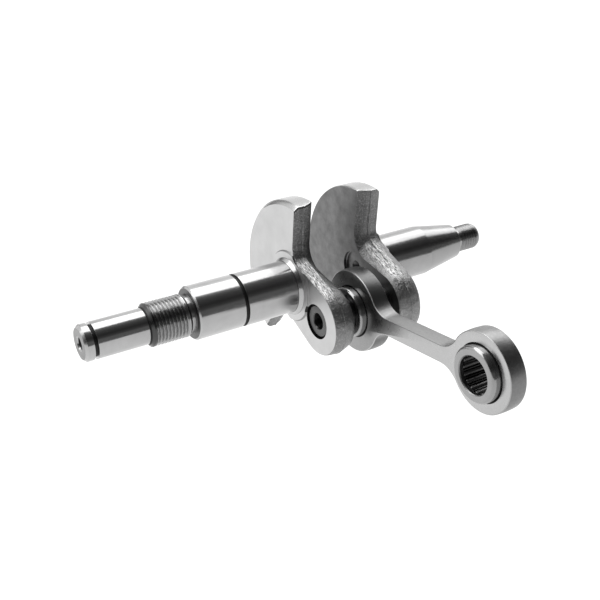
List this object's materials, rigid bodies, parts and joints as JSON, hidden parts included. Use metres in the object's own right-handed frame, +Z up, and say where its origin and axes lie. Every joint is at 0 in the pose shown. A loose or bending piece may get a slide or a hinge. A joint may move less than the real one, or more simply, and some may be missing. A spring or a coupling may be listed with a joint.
{
  "type": "engine crankshaft with connecting rod",
  "caption": "Pressed-up two-stroke crankshaft with two counterweighted webs, threaded clutch and flywheel ends, and a connecting rod on needle bearings.",
  "frame": {"origin": "on the shaft axis, in the middle plane of the connecting rod", "axes": "+X along the shaft towards the flywheel end, -Y along the rod towards the small end, +Z up"},
  "size_m": [0.131, 0.1014, 0.0437],
  "materials": {
    "shaft_steel": "ground shafts and satin machined webs with forged edges",
    "pin_steel": "hardened and ground",
    "rod_steel": "satin, tumbled forging with ground faces",
    "cup_steel": "bright drawn cup",
    "cage_steel": "dark oiled sheet",
    "needle_steel": "polished needles"
  },
  "bodies": {
    "crank": {"clutch_side_shaft": "shaft_steel", "flywheel_side_shaft": "shaft_steel", "crank_pin": "pin_steel"},
    "rod": {"connecting_rod": "rod_steel", "big_end_cup": "cup_steel", "small_end_cup": "cup_steel"},
    "big_end_cage": {"big_end_cage": "cage_steel"},
    "small_end_cage": {"small_end_cage": "cage_steel"},
    "big_end_needle_01": {"big_end_needle_01": "needle_steel"},
    "big_end_needle_02": {"big_end_needle_02": "needle_steel"},
    "big_end_needle_03": {"big_end_needle_03": "needle_steel"},
    "big_end_needle_04": {"big_end_needle_04": "needle_steel"},
    "big_end_needle_05": {"big_end_needle_05": "needle_steel"},
    "big_end_needle_06": {"big_end_needle_06": "needle_steel"},
    "big_end_needle_07": {"big_end_needle_07": "needle_steel"},
    "big_end_needle_08": {"big_end_needle_08": "needle_steel"},
    "big_end_needle_09": {"big_end_needle_09": "needle_steel"},
    "big_end_needle_10": {"big_end_needle_10": "needle_steel"},
    "big_end_needle_11": {"big_end_needle_11": "needle_steel"},
    "big_end_needle_12": {"big_end_needle_12": "needle_steel"},
    "big_end_needle_13": {"big_end_needle_13": "needle_steel"},
    "big_end_needle_14": {"big_end_needle_14": "needle_steel"},
    "big_end_needle_15": {"big_end_needle_15": "needle_steel"},
    "big_end_needle_16": {"big_end_needle_16": "needle_steel"},
    "big_end_needle_17": {"big_end_needle_17": "needle_steel"},
    "small_end_needle_01": {"small_end_needle_01": "needle_steel"},
    "small_end_needle_02": {"small_end_needle_02": "needle_steel"},
    "small_end_needle_03": {"small_end_needle_03": "needle_steel"},
    "small_end_needle_04": {"small_end_needle_04": "needle_steel"},
    "small_end_needle_05": {"small_end_needle_05": "needle_steel"},
    "small_end_needle_06": {"small_end_needle_06": "needle_steel"},
    "small_end_needle_07": {"small_end_needle_07": "needle_steel"},
    "small_end_needle_08": {"small_end_needle_08": "needle_steel"},
    "small_end_needle_09": {"small_end_needle_09": "needle_steel"},
    "small_end_needle_10": {"small_end_needle_10": "needle_steel"},
    "small_end_needle_11": {"small_end_needle_11": "needle_steel"},
    "small_end_needle_12": {"small_end_needle_12": "needle_steel"},
    "small_end_needle_13": {"small_end_needle_13": "needle_steel"},
    "small_end_needle_14": {"small_end_needle_14": "needle_steel"},
    "small_end_needle_15": {"small_end_needle_15": "needle_steel"},
    "small_end_needle_16": {"small_end_needle_16": "needle_steel"},
    "small_end_needle_17": {"small_end_needle_17": "needle_steel"}
  },
  "joints": [
    {"name": "rod_swing", "type": "hinge", "parent": "crank", "child": "rod", "pos_m": [0, -0.01321, -0.00711], "axis": [1, 0, 0], "continuous": true},
    {"name": "big_end_cage_spin", "type": "hinge", "parent": "crank", "child": "big_end_cage", "pos_m": [0, -0.01321, -0.00711], "axis": [1, 0, 0], "continuous": true},
    {"name": "small_end_cage_spin", "type": "hinge", "parent": "rod", "child": "small_end_cage", "pos_m": [0, -0.06621, -0.00711], "axis": [1, 0, 0], "continuous": true},
    {"name": "big_end_needle_01_roll", "type": "hinge", "parent": "big_end_cage", "child": "big_end_needle_01", "pos_m": [0, -0.00749, -0.00711], "axis": [1, 0, 0], "continuous": true},
    {"name": "big_end_needle_02_roll", "type": "hinge", "parent": "big_end_cage", "child": "big_end_needle_02", "pos_m": [0, -0.00787, -0.00505], "axis": [1, 0, 0], "continuous": true},
    {"name": "big_end_needle_03_roll", "type": "hinge", "parent": "big_end_cage", "child": "big_end_needle_03", "pos_m": [0, -0.00898, -0.00326], "axis": [1, 0, 0], "continuous": true},
    {"name": "big_end_needle_04_roll", "type": "hinge", "parent": "big_end_cage", "child": "big_end_needle_04", "pos_m": [0, -0.01066, -0.00199], "axis": [1, 0, 0], "continuous": true},
    {"name": "big_end_needle_05_roll", "type": "hinge", "parent": "big_end_cage", "child": "big_end_needle_05", "pos_m": [0, -0.01268, -0.00142], "axis": [1, 0, 0], "continuous": true},
    {"name": "big_end_needle_06_roll", "type": "hinge", "parent": "big_end_cage", "child": "big_end_needle_06", "pos_m": [0, -0.01477, -0.00161], "axis": [1, 0, 0], "continuous": true},
    {"name": "big_end_needle_07_roll", "type": "hinge", "parent": "big_end_cage", "child": "big_end_needle_07", "pos_m": [0, -0.01665, -0.00255], "axis": [1, 0, 0], "continuous": true},
    {"name": "big_end_needle_08_roll", "type": "hinge", "parent": "big_end_cage", "child": "big_end_needle_08", "pos_m": [0, -0.01807, -0.0041], "axis": [1, 0, 0], "continuous": true},
    {"name": "big_end_needle_09_roll", "type": "hinge", "parent": "big_end_cage", "child": "big_end_needle_09", "pos_m": [0, -0.01883, -0.00606], "axis": [1, 0, 0], "continuous": true},
    {"name": "big_end_needle_10_roll", "type": "hinge", "parent": "big_end_cage", "child": "big_end_needle_10", "pos_m": [0, -0.01883, -0.00816], "axis": [1, 0, 0], "continuous": true},
    {"name": "big_end_needle_11_roll", "type": "hinge", "parent": "big_end_cage", "child": "big_end_needle_11", "pos_m": [0, -0.01807, -0.01012], "axis": [1, 0, 0], "continuous": true},
    {"name": "big_end_needle_12_roll", "type": "hinge", "parent": "big_end_cage", "child": "big_end_needle_12", "pos_m": [0, -0.01665, -0.01168], "axis": [1, 0, 0], "continuous": true},
    {"name": "big_end_needle_13_roll", "type": "hinge", "parent": "big_end_cage", "child": "big_end_needle_13", "pos_m": [0, -0.01477, -0.01261], "axis": [1, 0, 0], "continuous": true},
    {"name": "big_end_needle_14_roll", "type": "hinge", "parent": "big_end_cage", "child": "big_end_needle_14", "pos_m": [0, -0.01268, -0.01281], "axis": [1, 0, 0], "continuous": true},
    {"name": "big_end_needle_15_roll", "type": "hinge", "parent": "big_end_cage", "child": "big_end_needle_15", "pos_m": [0, -0.01066, -0.01223], "axis": [1, 0, 0], "continuous": true},
    {"name": "big_end_needle_16_roll", "type": "hinge", "parent": "big_end_cage", "child": "big_end_needle_16", "pos_m": [0, -0.00898, -0.01096], "axis": [1, 0, 0], "continuous": true},
    {"name": "big_end_needle_17_roll", "type": "hinge", "parent": "big_end_cage", "child": "big_end_needle_17", "pos_m": [0, -0.00787, -0.00918], "axis": [1, 0, 0], "continuous": true},
    {"name": "small_end_needle_01_roll", "type": "hinge", "parent": "small_end_cage", "child": "small_end_needle_01", "pos_m": [0, -0.06061, -0.00711], "axis": [1, 0, 0], "continuous": true},
    {"name": "small_end_needle_02_roll", "type": "hinge", "parent": "small_end_cage", "child": "small_end_needle_02", "pos_m": [0, -0.06099, -0.00509], "axis": [1, 0, 0], "continuous": true},
    {"name": "small_end_needle_03_roll", "type": "hinge", "parent": "small_end_cage", "child": "small_end_needle_03", "pos_m": [0, -0.06207, -0.00334], "axis": [1, 0, 0], "continuous": true},
    {"name": "small_end_needle_04_roll", "type": "hinge", "parent": "small_end_cage", "child": "small_end_needle_04", "pos_m": [0, -0.06371, -0.0021], "axis": [1, 0, 0], "continuous": true},
    {"name": "small_end_needle_05_roll", "type": "hinge", "parent": "small_end_cage", "child": "small_end_needle_05", "pos_m": [0, -0.06569, -0.00154], "axis": [1, 0, 0], "continuous": true},
    {"name": "small_end_needle_06_roll", "type": "hinge", "parent": "small_end_cage", "child": "small_end_needle_06", "pos_m": [0, -0.06774, -0.00173], "axis": [1, 0, 0], "continuous": true},
    {"name": "small_end_needle_07_roll", "type": "hinge", "parent": "small_end_cage", "child": "small_end_needle_07", "pos_m": [0, -0.06958, -0.00265], "axis": [1, 0, 0], "continuous": true},
    {"name": "small_end_needle_08_roll", "type": "hinge", "parent": "small_end_cage", "child": "small_end_needle_08", "pos_m": [0, -0.07096, -0.00417], "axis": [1, 0, 0], "continuous": true},
    {"name": "small_end_needle_09_roll", "type": "hinge", "parent": "small_end_cage", "child": "small_end_needle_09", "pos_m": [0, -0.07171, -0.00608], "axis": [1, 0, 0], "continuous": true},
    {"name": "small_end_needle_10_roll", "type": "hinge", "parent": "small_end_cage", "child": "small_end_needle_10", "pos_m": [0, -0.07171, -0.00814], "axis": [1, 0, 0], "continuous": true},
    {"name": "small_end_needle_11_roll", "type": "hinge", "parent": "small_end_cage", "child": "small_end_needle_11", "pos_m": [0, -0.07096, -0.01006], "axis": [1, 0, 0], "continuous": true},
    {"name": "small_end_needle_12_roll", "type": "hinge", "parent": "small_end_cage", "child": "small_end_needle_12", "pos_m": [0, -0.06958, -0.01158], "axis": [1, 0, 0], "continuous": true},
    {"name": "small_end_needle_13_roll", "type": "hinge", "parent": "small_end_cage", "child": "small_end_needle_13", "pos_m": [0, -0.06774, -0.01249], "axis": [1, 0, 0], "continuous": true},
    {"name": "small_end_needle_14_roll", "type": "hinge", "parent": "small_end_cage", "child": "small_end_needle_14", "pos_m": [0, -0.06569, -0.01268], "axis": [1, 0, 0], "continuous": true},
    {"name": "small_end_needle_15_roll", "type": "hinge", "parent": "small_end_cage", "child": "small_end_needle_15", "pos_m": [0, -0.06371, -0.01212], "axis": [1, 0, 0], "continuous": true},
    {"name": "small_end_needle_16_roll", "type": "hinge", "parent": "small_end_cage", "child": "small_end_needle_16", "pos_m": [0, -0.06207, -0.01088], "axis": [1, 0, 0], "continuous": true},
    {"name": "small_end_needle_17_roll", "type": "hinge", "parent": "small_end_cage", "child": "small_end_needle_17", "pos_m": [0, -0.06099, -0.00913], "axis": [1, 0, 0], "continuous": true}
  ],
  "couplings": [
    {"joint": "big_end_cage_spin", "follows": "rod_swing", "ratio": 0.55769},
    {"joint": "big_end_needle_01_roll", "follows": "rod_swing", "ratio": 4.2756},
    {"joint": "big_end_needle_02_roll", "follows": "rod_swing", "ratio": 4.2756},
    {"joint": "big_end_needle_03_roll", "follows": "rod_swing", "ratio": 4.2756},
    {"joint": "big_end_needle_04_roll", "follows": "rod_swing", "ratio": 4.2756},
    {"joint": "big_end_needle_05_roll", "follows": "rod_swing", "ratio": 4.2756},
    {"joint": "big_end_needle_06_roll", "follows": "rod_swing", "ratio": 4.2756},
    {"joint": "big_end_needle_07_roll", "follows": "rod_swing", "ratio": 4.2756},
    {"joint": "big_end_needle_08_roll", "follows": "rod_swing", "ratio": 4.2756},
    {"joint": "big_end_needle_09_roll", "follows": "rod_swing", "ratio": 4.2756},
    {"joint": "big_end_needle_10_roll", "follows": "rod_swing", "ratio": 4.2756},
    {"joint": "big_end_needle_11_roll", "follows": "rod_swing", "ratio": 4.2756},
    {"joint": "big_end_needle_12_roll", "follows": "rod_swing", "ratio": 4.2756},
    {"joint": "big_end_needle_13_roll", "follows": "rod_swing", "ratio": 4.2756},
    {"joint": "big_end_needle_14_roll", "follows": "rod_swing", "ratio": 4.2756},
    {"joint": "big_end_needle_15_roll", "follows": "rod_swing", "ratio": 4.2756},
    {"joint": "big_end_needle_16_roll", "follows": "rod_swing", "ratio": 4.2756},
    {"joint": "big_end_needle_17_roll", "follows": "rod_swing", "ratio": 4.2756},
    {"joint": "small_end_needle_01_roll", "follows": "small_end_cage_spin", "ratio": -8.1274},
    {"joint": "small_end_needle_02_roll", "follows": "small_end_cage_spin", "ratio": -8.1274},
    {"joint": "small_end_needle_03_roll", "follows": "small_end_cage_spin", "ratio": -8.1274},
    {"joint": "small_end_needle_04_roll", "follows": "small_end_cage_spin", "ratio": -8.1274},
    {"joint": "small_end_needle_05_roll", "follows": "small_end_cage_spin", "ratio": -8.1274},
    {"joint": "small_end_needle_06_roll", "follows": "small_end_cage_spin", "ratio": -8.1274},
    {"joint": "small_end_needle_07_roll", "follows": "small_end_cage_spin", "ratio": -8.1274},
    {"joint": "small_end_needle_08_roll", "follows": "small_end_cage_spin", "ratio": -8.1274},
    {"joint": "small_end_needle_09_roll", "follows": "small_end_cage_spin", "ratio": -8.1274},
    {"joint": "small_end_needle_10_roll", "follows": "small_end_cage_spin", "ratio": -8.1274},
    {"joint": "small_end_needle_11_roll", "follows": "small_end_cage_spin", "ratio": -8.1274},
    {"joint": "small_end_needle_12_roll", "follows": "small_end_cage_spin", "ratio": -8.1274},
    {"joint": "small_end_needle_13_roll", "follows": "small_end_cage_spin", "ratio": -8.1274},
    {"joint": "small_end_needle_14_roll", "follows": "small_end_cage_spin", "ratio": -8.1274},
    {"joint": "small_end_needle_15_roll", "follows": "small_end_cage_spin", "ratio": -8.1274},
    {"joint": "small_end_needle_16_roll", "follows": "small_end_cage_spin", "ratio": -8.1274},
    {"joint": "small_end_needle_17_roll", "follows": "small_end_cage_spin", "ratio": -8.1274}
  ]
}
